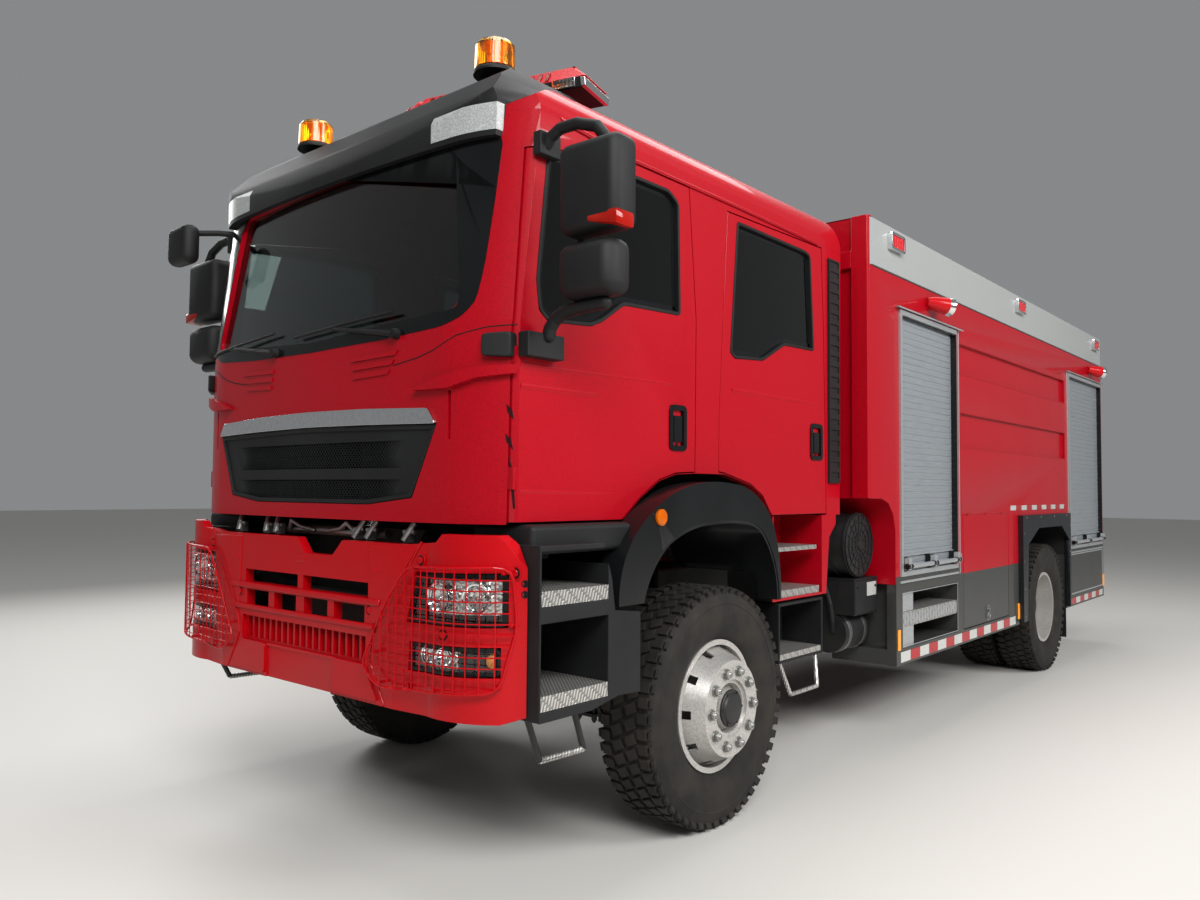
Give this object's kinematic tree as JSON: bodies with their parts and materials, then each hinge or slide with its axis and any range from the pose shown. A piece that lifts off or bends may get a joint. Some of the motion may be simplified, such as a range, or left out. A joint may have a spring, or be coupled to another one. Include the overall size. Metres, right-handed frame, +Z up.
{
  "type": "crew-cab fire truck",
  "caption": "Two-axle crew-cab fire truck with tilting cab, opening doors, steered front wheels, twin rear wheels, roller shutters and hinged side lockers.",
  "frame": {"origin": "on the ground under the middle of the truck's overall length and width", "axes": "+X to the truck's left side, +Y from the front to the back along its length, +Z up"},
  "size_m": [3.12, 8.588, 3.4123],
  "materials": {
    "cab_red": "glossy metallic",
    "band_grey": "satin",
    "black_trim": "textured",
    "cab_floor_mat": "matte",
    "seat_cloth": "matte",
    "window_glass": "clear",
    "lamp_lens": "clear",
    "signal_red": "glossy",
    "shutter_alloy": "satin anodised",
    "skirt_grey": "satin",
    "chassis_black": "satin",
    "wheel_silver": "glossy",
    "tyre_rubber": "matte"
  },
  "bodies": {
    "chassis": {"chassis_frame": "chassis_black", "power_unit": "chassis_black", "front_axle": "chassis_black", "rear_axle": "chassis_black", "front_bumper": "cab_red", "headlamps": "lamp_lens", "lamp_guards": "cab_red", "front_steps": "black_trim", "step_treads": "shutter_alloy", "wheel_arches": "black_trim", "side_equipment": "chassis_black", "body_shell": "cab_red", "upper_band": "band_grey", "body_fittings": "shutter_alloy", "lower_skirts": "skirt_grey", "rear_bumper": "chassis_black", "roller_shutters": "shutter_alloy", "shutter_frames": "shutter_alloy", "body_lamps": "signal_red"},
    "cab": {"cab_sides": "cab_red", "cab_roof": "cab_red", "cab_rear_wall": "cab_red", "cab_front": "cab_red", "windscreen": "window_glass", "front_grille": "black_trim", "cab_floor": "cab_floor_mat", "sun_visor": "black_trim", "warning_lights": "signal_red", "dashboard": "black_trim", "seats": "seat_cloth", "wipers": "black_trim", "kerb_mirror": "black_trim", "rear_louvres": "black_trim", "well_treads": "shutter_alloy", "clearance_lamps": "lamp_lens"},
    "steering_wheel": {"steering_wheel": "black_trim"},
    "knuckle_left": {"knuckle_left": "chassis_black"},
    "wheel_front_left": {"tyre_front_left": "tyre_rubber", "wheel_front_left": "wheel_silver"},
    "wheels_rear_left": {"tyres_rear_left": "tyre_rubber", "wheels_rear_left": "wheel_silver"},
    "door_front_left": {"door_front_left": "cab_red", "glass_front_left": "window_glass", "mirror_left": "black_trim"},
    "door_rear_left": {"door_rear_left": "cab_red", "glass_rear_left": "window_glass"},
    "locker_flap_left": {"locker_flap_left": "skirt_grey"},
    "knuckle_right": {"knuckle_right": "chassis_black"},
    "wheel_front_right": {"tyre_front_right": "tyre_rubber", "wheel_front_right": "wheel_silver"},
    "wheels_rear_right": {"tyres_rear_right": "tyre_rubber", "wheels_rear_right": "wheel_silver"},
    "door_front_right": {"door_front_right": "cab_red", "glass_front_right": "window_glass", "mirror_right": "black_trim"},
    "door_rear_right": {"door_rear_right": "cab_red", "glass_rear_right": "window_glass"},
    "locker_flap_right": {"locker_flap_right": "skirt_grey"}
  },
  "joints": [
    {"name": "cab_tilt", "type": "hinge", "parent": "chassis", "child": "cab", "pos_m": [0, -4.114, 1.1], "axis": [1, 0, 0], "range_deg": [0, 45]},
    {"name": "steering_wheel_turn", "type": "hinge", "parent": "cab", "child": "steering_wheel", "pos_m": [0.5, -3.654, 2.13], "axis": [0, 0.6727, 0.7399], "range_deg": [-690, 690]},
    {"name": "steer_left", "type": "hinge", "parent": "chassis", "child": "knuckle_left", "pos_m": [0.875, -2.804, 0.542], "axis": [0, 0, 1], "range_deg": [-38, 38]},
    {"name": "wheel_front_left_spin", "type": "hinge", "parent": "knuckle_left", "child": "wheel_front_left", "pos_m": [1.04, -2.804, 0.542], "axis": [1, 0, 0], "continuous": true},
    {"name": "wheels_rear_left_spin", "type": "hinge", "parent": "chassis", "child": "wheels_rear_left", "pos_m": [0.93, 2.236, 0.542], "axis": [1, 0, 0], "continuous": true},
    {"name": "door_front_left_hinge", "type": "hinge", "parent": "cab", "child": "door_front_left", "pos_m": [1.12, -4.069, 1.8], "axis": [0, 0, -1], "range_deg": [0, 70]},
    {"name": "door_rear_left_hinge", "type": "hinge", "parent": "cab", "child": "door_rear_left", "pos_m": [1.12, -2.735, 1.75], "axis": [0, 0, -1], "range_deg": [0, 80]},
    {"name": "locker_flap_left_hinge", "type": "hinge", "parent": "chassis", "child": "locker_flap_left", "pos_m": [1.25, 0.6445, 1.366], "axis": [0, -1, 0], "range_deg": [0, 110]},
    {"name": "steer_right", "type": "hinge", "parent": "chassis", "child": "knuckle_right", "pos_m": [-0.875, -2.804, 0.542], "axis": [0, 0, 1], "range_deg": [-38, 38]},
    {"name": "wheel_front_right_spin", "type": "hinge", "parent": "knuckle_right", "child": "wheel_front_right", "pos_m": [-1.04, -2.804, 0.542], "axis": [1, 0, 0], "continuous": true},
    {"name": "wheels_rear_right_spin", "type": "hinge", "parent": "chassis", "child": "wheels_rear_right", "pos_m": [-0.93, 2.236, 0.542], "axis": [1, 0, 0], "continuous": true},
    {"name": "door_front_right_hinge", "type": "hinge", "parent": "cab", "child": "door_front_right", "pos_m": [-1.12, -4.069, 1.8], "axis": [0, 0, 1], "range_deg": [0, 70]},
    {"name": "door_rear_right_hinge", "type": "hinge", "parent": "cab", "child": "door_rear_right", "pos_m": [-1.12, -2.735, 1.75], "axis": [0, 0, 1], "range_deg": [0, 80]},
    {"name": "locker_flap_right_hinge", "type": "hinge", "parent": "chassis", "child": "locker_flap_right", "pos_m": [-1.25, 0.6445, 1.366], "axis": [0, 1, 0], "range_deg": [0, 110]}
  ],
  "couplings": [
    {"joint": "steer_right", "follows": "steer_left", "ratio": 1},
    {"joint": "steering_wheel_turn", "follows": "steer_left", "ratio": 18}
  ]
}
